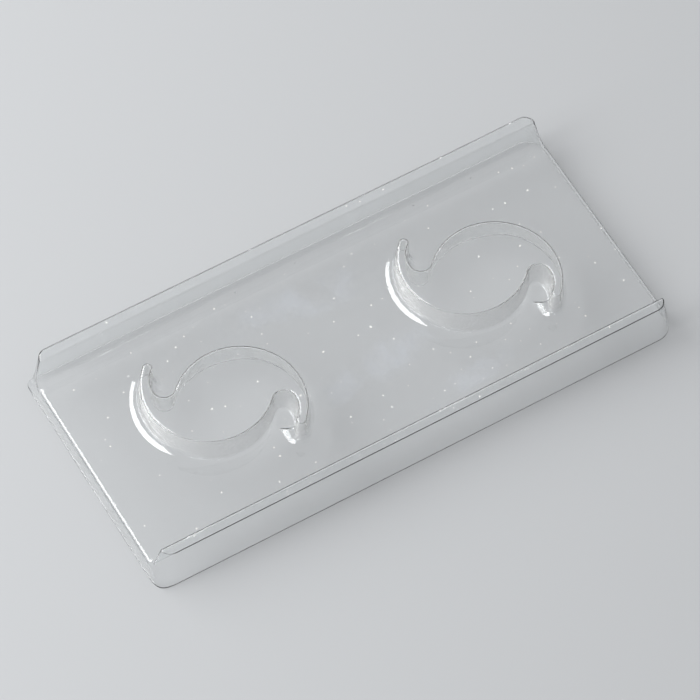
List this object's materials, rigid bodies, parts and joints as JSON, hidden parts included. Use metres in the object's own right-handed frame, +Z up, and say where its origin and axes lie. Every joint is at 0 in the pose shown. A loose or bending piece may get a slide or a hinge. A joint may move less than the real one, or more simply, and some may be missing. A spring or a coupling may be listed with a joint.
{
  "type": "blister tray",
  "caption": "Clear thermoformed blister tray with side rails and raised S-shaped plateaus that hold strip lashes on display.",
  "frame": {"origin": "middle of the cut edge that the tray rests on, in the plane of the surface under it", "axes": "+X along the tray, +Y across it towards the back rail, +Z up out of the deck"},
  "size_m": [0.103, 0.0474, 0.0093],
  "materials": {
    "clear_pet": "clear, glossy"
  },
  "bodies": {
    "root": {"tray": "clear_pet"}
  },
  "joints": []
}
